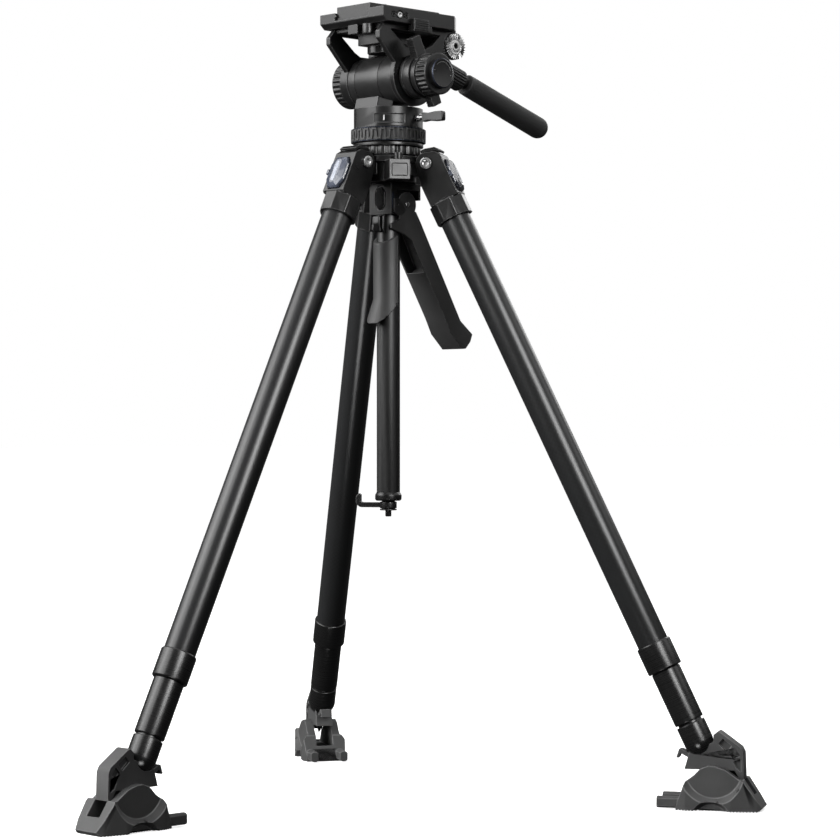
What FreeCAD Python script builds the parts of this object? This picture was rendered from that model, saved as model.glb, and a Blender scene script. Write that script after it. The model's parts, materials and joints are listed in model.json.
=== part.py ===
"""Three-legged camera stand with a fluid pan and tilt head.

The frame has +Z up. The origin lies on the floor, under the stand's vertical axis. The lens looks along -Y,
so the operator and the pan bar are on the +Y side, and the tilt axis runs along X. Lengths are millimetres.
"""
import FreeCAD, Part
import math
import os
import re
import Sketcher
from FreeCAD import Placement, Rotation, Vector

os.makedirs("parts", exist_ok=True)
doc = FreeCAD.newDocument("tripod")
sheet = doc.addObject("Spreadsheet::Sheet", "sizes")

SIZES = {
    # legs: the hinge ring, the lean of an opened leg and the stations along a leg, counted from its hinge
    "hinge_radius": 45, "hinge_height": 657.4, "leg_lean": 25.516, "running_gap": 0.05, "free_gap": 0.3,
    "bolt_radius": 4, "bolt_head_radius": 6, "ear_outside": 15.5, "ear_inside": 11.1, "head_outside": 17.5,
    "boss_radius": 11.5, "lug_radius": 11, "lug_half_width": 10.8, "casting_back": 15, "casting_face": 17.5,
    "collar_start": 43, "casting_end": 63.6, "collar_flat": 18.4, "rim_radius": 18.9, "rim_height": 1.2,
    "recess_floor": 13, "key_press": 3, "key_face": 23, "key_half_width": 13, "tab_half_width": 12.5,
    "tab_bottom": 12, "tab_top": 15.2, "tube_radius": 16, "tube_wall": 1.4, "tube_start": 41.5,
    "tube_end": 560, "upper_collar_start": 545.3, "upper_collar_end": 574.4, "upper_collar_radius": 18,
    "middle_radius": 14.3, "middle_wall": 1.5, "middle_start": 100, "lock_end": 631.7, "lock_radius": 15.25,
    "lower_radius": 12.5, "lower_wall": 1.7, "lower_start": 130, "ferrule_start": 634, "ferrule_radius": 15,
    "ankle_station": 653.6, "spike_radius": 5, "spike_cone": 683.6, "spike_tip": 695.6,
    # foot: outward, sideways and upward from the point of the floor under the ankle
    "heel_reach": 20, "toe_reach": 67, "shoe_half_width": 25, "slot_half_width": 9.5, "slot_floor": 14,
    "heel_wall": 17.5, "cheek_top": 45, "cheek_half_width": 19, "cheek_middle": 18, "cheek_level": 41.8,
    "cheek_radius": 28.8, "peg_end": 39.5, "peg_middle": 17, "peg_width": 9, "scallop_radius": 22,
    "seat_radius": 15.3, "cradle_bottom": 40, "spike_slot": 5.8, "pocket_depth": 3,
    # hub and head seat
    "hub_bottom": 639, "hub_top": 665.5, "hub_radius": 29, "flange_radius": 35, "flange_bottom": 659,
    "lobe_reach": 50, "lobe_half_width": 11, "cover_half_width": 8, "screw_radius": 4.5,
    "flute_ring_bottom": 666.6, "flute_ring_top": 675.4, "flute_ring_radius": 34, "flute_count": 20,
    "flute_radius": 2.6, "neck_radius": 30, "rim_top": 679.7, "seat_rim_radius": 36.5, "seat_bore": 20,
    "base_radius": 33, "base_top": 694.9, "lock_ring_radius": 39.1, "spindle_radius": 9, "spindle_top": 713,
    # clutch under the hub
    "housing_half_width": 16.3, "housing_front": -11.8, "housing_back": 31.3, "housing_bottom": 606,
    "plate_bottom": 631.5, "pivot_y": 13, "pivot_z": 617, "pin_radius": 2.5, "head_radius": 13,
    "lever_half_width": 15, "cheek_inside": 12.6, "core_half_width": 12.2, "grip_radius": 15.8,
    "grip_top": 585, "grip_bottom": 492, "column_radius": 12.15, "column_wall": 1.5, "column_bottom": 317,
    "cap_radius": 13.85, "cap_bottom": 308, "hook_seat_radius": 7, "hook_bottom": 300, "hook_top": 307,
    "hook_reach": 35, "hook_thick": 5.5, "stud_radius": 3.175, "stud_end": 291.5,
    # pan
    "pan_bottom": 695.2, "pan_top": 716.2, "pan_radius": 36, "pan_flat": 33, "pan_lock_angle": 10,
    "pan_lock_height": 705, "pan_lock_shaft": 2.5, "paddle_start": 45, "paddle_end": 71,
    # tilt
    "tilt_height": 746.5, "drum_radius": 25.5, "drum_left": -35.6, "drum_right": 32.6, "axle_radius": 12,
    "axle_left": -58, "axle_right": 74, "dial_left": -60, "dial_left_end": -47.3, "dial_radius": 25,
    "neck_end": 53.7, "damping_radius": 23, "tilt_lock_start": 54, "tilt_lock_end": 60, "index_end": 61.3,
    "drag_start": 61.6, "drag_end": 76, "drag_radius": 21.5, "face_end": 81, "face_radius": 15,
    "cage_inside": 35.9, "cage_outside": 41.9, "ring_left_radius": 26, "ring_right_radius": 30,
    "ring_right_inside": 32.9, "ring_right_outside": 38.9, "bridge_bottom": 795, "platform_bottom": 799,
    "platform_floor": 806, "platform_top": 814, "platform_half_width": 48, "platform_half_length": 53, "platform_rear": 63,
    "plate_half_width": 25, "plate_half_length": 50, "plate_top": 820, "screw_top": 825.5, "screw_y": -6,
    "rosette_y": 58, "rosette_z": 784, "rosette_radius": 14, "rosette_thick": 3.3, "rosette_bore": 3.05,
    # pan bar: its axis runs in a plane beside the left cage plate
    "bar_x": -59, "bar_drop": 18.3, "bar_lift": 18, "bar_radius": 7.5, "bar_start": -15, "bar_end": 100,
    "rod_radius": 5.5, "grip_start": 121, "grip_end": 256, "bar_grip_radius": 12.3, "twist_start": 84,
    "twist_end": 112, "twist_radius": 12, "clamp_radius": 10,
}
for row, (alias, number) in enumerate(SIZES.items(), start=1):
    sheet.set(f"A{row}", alias)
    sheet.set(f"B{row}", str(number))
    sheet.setAlias(f"B{row}", alias)
doc.recompute()

ALIAS = re.compile(r"\b(" + "|".join(sorted(SIZES, key=len, reverse=True)) + r")\b")
UPRIGHT = Rotation()
ALONG_X = Rotation(Vector(0, 1, 0), 90)
ALONG_Y = Rotation(Vector(1, 0, 0), -90)
SIDE_VIEW = Rotation(Vector(1, 1, 1), 120)      # outline in Y and Z, thickness along +X
FRONT_VIEW = Rotation(Vector(1, 0, 0), 90)      # outline in X and Z, thickness along -Y
LEG_ANGLES = {"front": 270, "right": 30, "left": 150}
LOBE_ANGLES = (330, 90, 210)
nodes = []


def formula(text):
    return ALIAS.sub(r"sizes.\1", str(text))


def size(text):
    """The number that a formula of sheet names gives."""
    return float(sheet.evalExpression(formula(text)))


def bind(thing, **sizes):
    for name, text in sizes.items():
        setattr(thing, name, size(text))
        thing.setExpression(name, formula(text))
    return thing


def seat(thing, at, turn=UPRIGHT):
    thing.Placement = Placement(Vector(*[size(text) for text in at]), turn)
    for letter, text in zip("xyz", at):
        thing.setExpression(f"Placement.Base.{letter}", formula(text))
    return thing


def block(low, high):
    box = doc.addObject("Part::Box", "block")
    bind(box, Length=f"({high[0]}) - ({low[0]})", Width=f"({high[1]}) - ({low[1]})",
         Height=f"({high[2]}) - ({low[2]})")
    return seat(box, low)


def rod(radius, length, at=(0, 0, 0), turn=UPRIGHT):
    return seat(bind(doc.addObject("Part::Cylinder", "rod"), Radius=radius, Height=length), at, turn)


def ball(radius, at=(0, 0, 0)):
    return seat(bind(doc.addObject("Part::Sphere", "ball"), Radius=radius), at)


def cone(low_radius, high_radius, length, at, turn=UPRIGHT):
    piece = doc.addObject("Part::Cone", "cone")
    return seat(bind(piece, Radius1=low_radius, Radius2=high_radius, Height=length), at, turn)


def outline(body, plane, points):
    """A closed sketch of straight sides, each corner held by its two distances from the origin."""
    origin = [item for item in body.Origin.OriginFeatures if item.Role == plane][0]
    sketch = body.newObject("Sketcher::SketchObject", "outline")
    sketch.AttachmentSupport = (origin, [""])
    sketch.MapMode = "FlatFace"
    corners = [Vector(size(across), size(up), 0) for across, up in points]
    for here, there in zip(corners, corners[1:] + corners[:1]):
        sketch.addGeometry(Part.LineSegment(here, there), False)
    for side in range(len(points)):
        sketch.addConstraint(Sketcher.Constraint("Coincident", side, 2, (side + 1) % len(points), 1))
    for side, texts in enumerate(points):
        for kind, text in zip(("DistanceX", "DistanceY"), texts):
            held = sketch.addConstraint(Sketcher.Constraint(kind, -1, 1, side, 1, size(text)))
            sketch.setExpression(f"Constraints[{held}]", formula(text))
    return sketch


def prism(points, thickness, at=(0, 0, 0), turn=UPRIGHT):
    body = doc.addObject("PartDesign::Body", "prism")
    pad = body.newObject("PartDesign::Pad", "pad")
    pad.Profile = outline(body, "XY_Plane", points)
    bind(pad, Length=thickness)
    body.Tip = pad
    return seat(body, at, turn)


def turned(points, at=(0, 0, 0), turn=UPRIGHT):
    """A body of revolution about its own Z axis, from corners given as radius and height."""
    body = doc.addObject("PartDesign::Body", "turned")
    spin = body.newObject("PartDesign::Revolution", "spin")
    sketch = outline(body, "XZ_Plane", points)
    spin.Profile = sketch
    spin.ReferenceAxis = (sketch, ["V_Axis"])
    spin.Angle = 360
    body.Tip = spin
    return seat(body, at, turn)


def fuse(*pieces):
    joined = doc.addObject("Part::MultiFuse", "fuse")
    joined.Shapes = list(pieces)
    joined.Refine = True
    return joined


def common(*pieces):
    shared = doc.addObject("Part::MultiCommon", "common")
    shared.Shapes = list(pieces)
    return shared


def cut(base, *tools):
    result = doc.addObject("Part::Cut", "cut")
    result.Base = base
    result.Tool = tools[0] if len(tools) == 1 else fuse(*tools)
    return result


def group(*pieces):
    gathered = doc.addObject("Part::Compound", "group")
    gathered.Links = list(pieces)
    return gathered


def node(thing, label, at=None, turn=UPRIGHT):
    """Names a finished sub-part and, where one is given, puts it in its place."""
    thing.Label = label
    if at is not None:
        seat(thing, at, turn)
    nodes.append(thing)


def around(radius, angle, height):
    """A point at a radius and an azimuth about the stand's axis."""
    return (f"({radius}) * cos({angle})", f"({radius}) * sin({angle})", height)


def spin_z(angle):
    return Rotation(Vector(0, 0, 1), angle)


# ---- one leg, in its own frame: hinge at the origin, the leg down -Z, its outer face towards +X ----

def leg_casting():
    body = prism([("-boss_radius", 0), ("-casting_back", -18), ("-casting_back", -43.5), (15.5, -43.5),
                  ("casting_face", -41.5), ("casting_face", 2), (13, 8), (3, 11.1)],
                 "2 * ear_outside", (0, "ear_outside", 0), FRONT_VIEW)
    boss = rod("boss_radius", "2 * ear_outside", (0, "-ear_outside", 0), ALONG_Y)
    flat, corner = "collar_flat", "collar_flat * 0.414"
    collar = prism([(flat, f"-{corner}"), (flat, corner), (corner, flat), (f"-{corner}", flat), (f"-{flat}", corner),
                    (f"-{flat}", f"-{corner}"), (f"-{corner}", f"-{flat}"), (corner, f"-{flat}")],
                   "casting_end - collar_start", (0, 0, "-casting_end"))
    rim = rod("rim_radius", "rim_height", (0, 0, "-casting_end"))
    swing = rod("lug_radius + 1", "2 * ear_inside", (0, "-ear_inside", 0), ALONG_Y)
    mouth = block((-20, "-ear_inside", -12), (0, "ear_inside", 13))
    bolt_hole = rod("bolt_radius + running_gap", "2 * ear_outside + 2", (0, "-ear_outside - 1", 0), ALONG_Y)
    socket = rod("tube_radius + running_gap", "casting_end - tube_start + 1", (0, 0, "-casting_end - 1"))
    recess = prism([(-13.6, -12), (-13.6, -31), (-8, -40), (8, -40), (13.6, -31), (13.6, -12), (8, -3.5),
                    (-8, -3.5)], 10, ("recess_floor", 0, 0), SIDE_VIEW)
    return cut(fuse(body, boss, collar, rim), swing, mouth, bolt_hole, socket, recess)


def release_key():
    face = prism([("-key_half_width", -12.3), ("-key_half_width", -30.7), (-7.6, -39.4), (7.6, -39.4),
                  ("key_half_width", -30.7), ("key_half_width", -12.3), (7.6, -4.1), (-7.6, -4.1)],
                 "key_face - recess_floor - key_press - free_gap",
                 ("recess_floor + key_press + free_gap", 0, 0), SIDE_VIEW)
    nub = block((20.9, -16, -24), (22.6, -12, -18))
    return fuse(face, nub)


def angle_tab():
    """A plate over the top corner of the casting, with its outer end turned down over the face."""
    plate = prism([(-1, "tab_bottom"), (3.5, "tab_bottom"), (13.2, "tab_bottom - 3"), (15.5, "tab_bottom - 6"),
                   (17.6, "tab_bottom - 4.6"), (14.6, "tab_bottom"), (4, "tab_top"), (-1, "tab_top")],
                  "2 * tab_half_width", (0, "tab_half_width", 0), FRONT_VIEW)
    return group(plate)


def upper_tube():
    inside = "tube_radius - tube_wall"
    return turned([(inside, "-tube_end"), ("tube_radius", "-tube_end"), ("tube_radius", "-tube_start"),
                   (inside, "-tube_start")])


def upper_collar():
    wide, bore, guide = "upper_collar_radius", "tube_radius + running_gap", "middle_radius + running_gap"
    return turned([(bore, "-upper_collar_start"), (f"{wide} - 0.8", "-upper_collar_start"),
                   (wide, "-upper_collar_start - 1"), (wide, "-upper_collar_end + 1"),
                   (f"{wide} - 0.8", "-upper_collar_end"), (guide, "-upper_collar_end"),
                   (guide, "-tube_end"), (bore, "-tube_end")])


def middle_section():
    inside, guide, top = "middle_radius - middle_wall", "lower_radius + running_gap", "upper_collar_end"
    return turned([(inside, "-middle_start"), ("middle_radius", "-middle_start"),
                   ("middle_radius", f"-{top} - free_gap"), ("lock_radius - 0.6", f"-{top} - free_gap"),
                   ("lock_radius", f"-{top} - 1"), ("lock_radius", "-lock_end + 0.7"),
                   ("lock_radius - 0.6", "-lock_end"), (guide, "-lock_end"), (guide, -590), (inside, -590)])


def lower_section():
    inside = "lower_radius - lower_wall"
    sleeve = turned([(inside, "-lower_start"), ("lower_radius", "-lower_start"),
                     ("lower_radius", "-ferrule_start"), ("ferrule_radius - 0.6", "-ferrule_start"),
                     ("ferrule_radius", "-ferrule_start - 0.6"), ("ferrule_radius", "-ankle_station"),
                     (0, "-ankle_station"), (0, -640), (inside, -640)])
    spike = turned([(0, "-ankle_station - 5"), ("spike_radius", "-ankle_station - 5"),
                    ("spike_radius", "-spike_cone"), (0.4, "-spike_tip"), (0, "-spike_tip")])
    return fuse(sleeve, ball("ferrule_radius", (0, 0, "-ankle_station")), spike)


# ---- one foot, in its own frame: the floor point under the ankle at the origin, +X outward ----

ANKLE_Z = "(hinge_height - ankle_station * cos(leg_lean))"
ANKLE_R = "(hinge_radius + ankle_station * sin(leg_lean))"


def foot_shoe():
    """A rubber shoe with an arched cheek on each side of the slot, and two heel pegs."""
    side = prism([("-heel_reach", 0), (63, 0), ("toe_reach", 4), (48, 32), (44.5, 31.5), (38, 36), (30, 41.5),
                  (20, 44.6), (12, "cheek_top"), (4, 41.5), (-3, 34), (-10.5, 29), (-16, 14),
                  ("-heel_reach", 4)],
                 "2 * shoe_half_width", (0, "shoe_half_width", 0), FRONT_VIEW)
    plan = prism([("-heel_reach", -22), (-10, "-shoe_half_width"), (36, "-shoe_half_width"), (60, -20),
                  ("toe_reach", -16), ("toe_reach", 16), (60, 20), (36, "shoe_half_width"),
                  (-10, "shoe_half_width"), ("-heel_reach", 22)], 60)
    front = prism([("-shoe_half_width", 0), ("shoe_half_width", 0), ("shoe_half_width", 24),
                   ("cheek_half_width", 36), ("cheek_half_width", "cheek_top"),
                   ("-cheek_half_width", "cheek_top"), ("-cheek_half_width", 36), ("-shoe_half_width", 24)],
                  100, (-30, 0, 0), SIDE_VIEW)
    slot = block((-14, "-slot_half_width", "slot_floor"), (58, "slot_half_width", 50))
    back_slot = block((-30, "-slot_half_width", "heel_wall"), (-13, "slot_half_width", 50))
    pegs = [common(block(("-peg_end", f"{middle} - peg_width / 2", 1.5),
                         ("-heel_reach + 5", f"{middle} + peg_width / 2", 13.5)),
                   rod("peg_width / 2 + 1.5", "peg_end", ("-peg_end", middle, 7.5), ALONG_X))
            for middle in ("-peg_middle", "peg_middle")]
    hollows = []
    for side_turn, across in ((ALONG_Y * Rotation(Vector(1, 0, 0), 180), "-"), (ALONG_Y, "")):
        hollows.append(cone("cheek_radius", "cheek_radius + 7.2", 7,
                            ("cheek_middle", f"{across}cheek_half_width", "cheek_level"), side_turn))
        hollows.append(cone("scallop_radius - 6", "scallop_radius", 9,
                            (16, f"{across}(shoe_half_width - 6)", -9), side_turn))
    return fuse(cut(common(side, plan, front), slot, back_slot, *hollows), *pegs)


def foot_strap():
    """The cradle that carries the ferrule's round end, and the strap that runs down in front of it."""
    blank = prism([(-13, "cradle_bottom"), (-8, 58), (16.5, 68), (16.5, 75.2), (21, 79), (24, 77.5), (44, 63),
                   (46.5, 58), (47.5, 31), (43, 31), (38, "cradle_bottom")], "2 * slot_half_width",
                  (0, "slot_half_width", 0), FRONT_VIEW)
    spike_way = block((-7.6, "-spike_slot", 30), (38.5, "spike_slot", 63))
    pockets = [prism(corners, "pocket_depth + 1", (0, side, 0), FRONT_VIEW)
               for corners in ([(26, 71.5), (35, 64.8), (30.3, 58.6), (21.8, 66.2)],
                               [(37.6, 62.2), (43, 55), (36.9, 51.2), (32.6, 56.4)],
                               [(36.6, 49), (44, 51.5), (44.4, 39), (39.6, 42.4)])
               for side in ("slot_half_width + 1", "pocket_depth - slot_half_width")]
    hook = prism([(-9, 51), (-9, 56), (-16, 59.6), (-19, 60), (-22, 51), (-19.5, 50.5), (-17.5, 55.5), (-13, 53)],
                 12, (0, 6, 0), FRONT_VIEW)
    return cut(fuse(cut(blank, spike_way, *pockets), hook), ball("seat_radius", (0, 0, ANKLE_Z)))


LEG_PARTS = (("casting", leg_casting), ("release_key", release_key), ("angle_tab", angle_tab),
             ("upper_tube", upper_tube), ("upper_collar", upper_collar), ("middle_section", middle_section),
             ("lower_section", lower_section))
FOOT_PARTS = (("foot_shoe", foot_shoe), ("foot_strap", foot_strap))
for leg, angle in LEG_ANGLES.items():
    leaning = spin_z(angle) * Rotation(Vector(0, 1, 0), -size("leg_lean"))
    for name, build in LEG_PARTS:
        node(build(), f"{leg}_{name}", around("hinge_radius", angle, "hinge_height"), leaning)
    for name, build in FOOT_PARTS:
        node(build(), f"{leg}_{name}", around(ANKLE_R, angle, 0), spin_z(angle))


# ---- hub and head seat ----

def leg_lug(angle):
    arm = block((10, "-lug_half_width", "hinge_height - lug_radius"),
                ("hinge_radius", "lug_half_width", "hub_top"))
    tip = rod("lug_radius", "2 * lug_half_width", ("hinge_radius", "-lug_half_width", "hinge_height"), ALONG_Y)
    bore = rod("bolt_radius + running_gap", "2 * lug_half_width + 2",
               ("hinge_radius", "-lug_half_width - 1", "hinge_height"), ALONG_Y)
    corner = block(("hinge_radius - 4", "-lug_half_width", "hinge_height + 5"),
                   ("hinge_radius + 1", "lug_half_width", "hub_top + 1"))
    return seat(cut(fuse(cut(arm, corner), tip), bore), (0, 0, 0), spin_z(angle))


def lobe(angle):
    arm = block((10, "-lobe_half_width", "hub_bottom"), ("lobe_reach", "lobe_half_width", "flange_bottom + 1"))
    pocket = block(("lobe_reach - 1", "-cover_half_width", 643), ("lobe_reach + 1", "cover_half_width", 655))
    return seat(cut(arm, pocket), (0, 0, 0), spin_z(angle))


def hub():
    core = rod("hub_radius", "hub_top - hub_bottom", (0, 0, "hub_bottom"))
    flange = rod("flange_radius", "hub_top - flange_bottom", (0, 0, "flange_bottom"))
    lugs = [leg_lug(angle) for angle in LEG_ANGLES.values()]
    return fuse(core, flange, *lugs, *[lobe(angle) for angle in LOBE_ANGLES])


def lobe_fittings():
    """A cover plate in the face of each lobe, and the thumb screw on its top."""
    pieces = []
    for angle in LOBE_ANGLES:
        cover = block(("lobe_reach - 1", "-cover_half_width", 643), ("lobe_reach + 0.4", "cover_half_width", 655))
        screw = rod("screw_radius", 7, (43, 0, "flange_bottom + 1"))
        pieces += [seat(group(piece), (0, 0, 0), spin_z(angle)) for piece in (cover, screw)]
    return group(*pieces)


def pivot_bolts():
    """The three leg bolts and the pin that the squeeze lever turns on."""
    bolts = []
    for angle in LEG_ANGLES.values():
        shaft = rod("bolt_radius", "2 * ear_outside + 1", (0, "-ear_outside - 0.5", 0), ALONG_Y)
        heads = [rod("bolt_head_radius", "head_outside - ear_outside - 0.3", (0, low, 0), ALONG_Y)
                 for low in ("-head_outside", "ear_outside + 0.3")]
        bolts.append(seat(fuse(shaft, *heads), around("hinge_radius", angle, "hinge_height"), spin_z(angle)))
    pin = rod("pin_radius", "2 * housing_half_width - 1", ("-housing_half_width + 0.5", "pivot_y", "pivot_z"),
              ALONG_X)
    return group(*bolts, pin)


def fluted_ring():
    height = "flute_ring_top - flute_ring_bottom"
    blank = rod("flute_ring_radius", height, (0, 0, "flute_ring_bottom"))
    bore = rod("neck_radius + running_gap", 20, (0, 0, "flute_ring_bottom - 5"))
    step = 360 / size("flute_count")
    flutes = [rod("flute_radius", 20, around("flute_ring_radius + 1.2", step * turn, "flute_ring_bottom - 5"))
              for turn in range(int(size("flute_count")))]
    return cut(blank, bore, group(*flutes))


def head_seat():
    return turned([("seat_bore", "hub_top"), ("neck_radius", "hub_top"), ("neck_radius", "flute_ring_top + 0.2"),
                   ("seat_rim_radius - 0.6", "flute_ring_top + 0.2"), ("seat_rim_radius", "flute_ring_top + 0.8"),
                   ("seat_rim_radius", "rim_top - 0.7"), ("seat_rim_radius - 0.8", "rim_top"),
                   ("seat_bore", "rim_top")])


def head_base():
    return turned([(0, "rim_top"), ("base_radius", "rim_top"), ("base_radius", "base_top"),
                   ("spindle_radius", "base_top"), ("spindle_radius", "spindle_top"), (0, "spindle_top")])


def head_lock_ring():
    low = "rim_top + free_gap"
    return turned([("base_radius + running_gap", low), ("lock_ring_radius - 1.2", low),
                   ("lock_ring_radius", f"{low} + 1.2"), ("lock_ring_radius", "base_top - 1.2"),
                   ("lock_ring_radius - 1.2", "base_top"), ("base_radius + running_gap", "base_top")])


node(hub(), "hub")
node(lobe_fittings(), "lobe_fittings")
node(pivot_bolts(), "pivot_bolts")
node(fluted_ring(), "fluted_ring")
node(head_seat(), "head_seat")
node(head_base(), "head_base")
node(head_lock_ring(), "head_lock_ring")


# ---- clutch, palm grip and central column ----

def badge_outline(face, half_wide, half_tall):
    """An upright hexagonal prism that reaches forward from a face looking along -Y."""
    middle = "(housing_bottom + hub_bottom) / 2"
    shoulder = half_tall * 0.55
    corners = [(-half_wide * 0.45, half_tall), (half_wide * 0.45, half_tall), (half_wide, shoulder),
               (half_wide, -shoulder), (half_wide * 0.45, -half_tall), (-half_wide * 0.45, -half_tall),
               (-half_wide, -shoulder), (-half_wide, shoulder)]
    return prism(corners, 1.4, (0, face, middle), FRONT_VIEW)


def clutch_housing():
    wide = "housing_half_width"
    top = block((f"-{wide}", "housing_front", "plate_bottom"), (wide, "housing_back", "hub_bottom"))
    front = block((f"-{wide}", "housing_front", "housing_bottom"), (wide, -2.6, "hub_bottom"))
    core = block(("-core_half_width", -3, "housing_bottom"), ("core_half_width", 18, "plate_bottom + 1"))
    rear = block((f"-{wide}", 28.3, 622), (wide, "housing_back", "hub_bottom"))
    pin_hole = rod("pin_radius + running_gap", 40, (-20, "pivot_y", "pivot_z"), ALONG_X)
    latch_pin = rod(1.5, 2.6, (f"{wide} - 0.5", -5, 616), ALONG_X)
    recess = badge_outline("housing_front + 1", 8, 13)
    badge = badge_outline("housing_front + 1", 6.6, 11.4)
    return fuse(cut(fuse(top, front, core, rear), pin_hole, recess), badge, latch_pin)


def clutch_lever():
    """A bent handle whose upper half straddles the column with two cheeks."""
    bar = prism([(26, 610), (33, 599), (92, 498), (110, 484), (107, 476), (100, 468.5), (94, 468), (77, 484),
                 (68, 501), (26, 569), (20, 580), (9, 585.5), (-10, 591), (-10, 596), (2, 601), (2, 612)],
                "2 * lever_half_width", ("-lever_half_width", 0, 0), SIDE_VIEW)
    head = rod("head_radius", "2 * lever_half_width", ("-lever_half_width", "pivot_y", "pivot_z"), ALONG_X)
    channel = prism([(-20, 540), (45, 548), (51, 553), (24, 603), (27, 620), (27, 640), (-20, 640)],
                    "2 * cheek_inside", ("-cheek_inside", 0, 0), SIDE_VIEW)
    bore = rod("pin_radius + running_gap", 40, (-20, "pivot_y", "pivot_z"), ALONG_X)
    dimple = rod(2, 8, (0, 68, 507), Rotation(Vector(1, 0, 0), -60))
    return cut(fuse(bar, head), channel, bore, dimple)


def lever_latch():
    plate = prism([(-9, 608), (-2, 604), (6, 608), (6, 613), (-1, 622), (-9, 622)], 2.4,
                  ("housing_half_width + 0.3", 0, 0), SIDE_VIEW)
    return cut(plate, rod("1.5 + running_gap", 10, (12, -5, 616), ALONG_X))


def palm_grip():
    """Half a sleeve on the front of the column, cut slanting at both ends, with a flared lower lip."""
    sleeve = rod("grip_radius", "grip_top - grip_bottom", (0, 0, "grip_bottom"))
    lip = cone(24, "grip_radius", 26, (0, 0, "grip_bottom"))
    front = block((-30, -30, "grip_bottom - 1"), (30, "-free_gap", "grip_top + 1"))
    bore = rod("column_radius + running_gap", 120, (0, 0, "grip_bottom - 10"))
    under = prism([(2, 470), (2, 517), (-26, 489), (-26, 470)], 60, (-30, 0, 0), SIDE_VIEW)
    over = prism([(-26, 569), (-26, 600), (2, 600), (2, 586)], 60, (-30, 0, 0), SIDE_VIEW)
    return cut(common(fuse(sleeve, lip), front), bore, under, over)


def column_tube():
    inside = "column_radius - column_wall"
    return turned([(inside, "column_bottom"), ("column_radius", "column_bottom"),
                   ("column_radius", "housing_bottom"), (inside, "housing_bottom")])


def column_end():
    """The end cap, the neck that the weight hook turns on, and the threaded stud."""
    neck = "hook_seat_radius"
    return turned([(0, "column_bottom - 1"), (9, "column_bottom - 1"), (9, "column_bottom"),
                   ("column_radius", "column_bottom"), ("cap_radius", "column_bottom - 3"),
                   ("cap_radius", "cap_bottom + 1.5"), ("cap_radius - 1.5", "cap_bottom"), (neck, "cap_bottom"),
                   (neck, "hook_bottom - 0.5"), (8.8, "hook_bottom - 0.5"), (8.8, "hook_bottom - 2"),
                   ("stud_radius", "hook_bottom - 2"), ("stud_radius", "stud_end + 0.6"),
                   ("stud_radius - 0.6", "stud_end"), (0, "stud_end")])


def weight_hook():
    """A collar on the column's end with an arm that turns up at its tip."""
    collar = rod(8.8, "hook_top - hook_bottom", (0, 0, "hook_bottom"))
    bore = rod("hook_seat_radius + running_gap", 20, (0, 0, "hook_bottom - 5"))
    arm = block((8, "-hook_thick / 2", "hook_bottom + 0.5"), ("hook_reach", "hook_thick / 2", "hook_top - 0.5"))
    tip = block(("hook_reach - hook_thick", "-hook_thick / 2", "hook_bottom + 0.5"),
                ("hook_reach", "hook_thick / 2", "hook_top + 9"))
    return cut(fuse(collar, arm, tip), bore)


node(clutch_housing(), "clutch_housing")
node(clutch_lever(), "clutch_lever")
node(lever_latch(), "lever_latch")
node(palm_grip(), "palm_grip")
node(column_tube(), "column_tube")
node(column_end(), "column_end")
node(weight_hook(), "weight_hook", (0, 0, 0), spin_z(210))


# ---- pan ----

def pan_base():
    height = "pan_top - pan_bottom"
    drum = rod("pan_radius", height, (0, 0, "pan_bottom"))
    flats = prism([("-pan_flat", -26), (-26, "-pan_flat"), (26, "-pan_flat"), (40, -22), (40, 40), (-40, 40),
                   ("-pan_flat", 26)], height, (0, 0, "pan_bottom"))
    bore = rod("spindle_radius + running_gap", "spindle_top - pan_bottom + 1.3", (0, 0, "pan_bottom - 1"))
    lock_bore = rod("pan_lock_shaft + running_gap", 30, around(20, "pan_lock_angle", "pan_lock_height"),
                    spin_z(size("pan_lock_angle")) * ALONG_X)
    window = common(cut(rod("pan_radius + 1", 9, (0, 0, 699)), rod("pan_radius - 1.2", 20, (0, 0, 695))),
                    seat(group(block((24, -24, 690), (45, 6, 720))), (0, 0, 0), spin_z(-25)))
    return cut(common(drum, flats), bore, lock_bore, window)


def pan_lock_lever():
    shaft = rod("pan_lock_shaft", "paddle_start - 24", (25, 0, 0), ALONG_X)
    washer = rod(4, 3, (38, 0, 0), ALONG_X)
    paddle = block(("paddle_start", -3.5, -5), ("paddle_end", 3.5, 5))
    return fuse(shaft, washer, paddle)


def tilt_housing():
    drum = rod("drum_radius", "drum_right - drum_left", ("drum_left", 0, "tilt_height"), ALONG_X)
    axle = rod("axle_radius", "axle_right - axle_left", ("axle_left", 0, "tilt_height"), ALONG_X)
    pedestal = prism([(-21, "pan_top"), (21, "pan_top"), (16, 736), (-16, 736)], 61, (-30, 0, 0), SIDE_VIEW)
    return fuse(drum, axle, pedestal)


def damping_housing():
    """The fixed neck beside the cage, and the index ring beyond the tilt lock."""
    neck = rod("damping_radius", "neck_end - ring_right_outside - free_gap",
               ("ring_right_outside + free_gap", 0, "tilt_height"), ALONG_X)
    index = rod("damping_radius - 0.5", "index_end - tilt_lock_end - free_gap",
                ("tilt_lock_end + free_gap", 0, "tilt_height"), ALONG_X)
    bore = rod("axle_radius", 60, (30, 0, "tilt_height"), ALONG_X)
    return cut(group(neck, index), bore)


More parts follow.
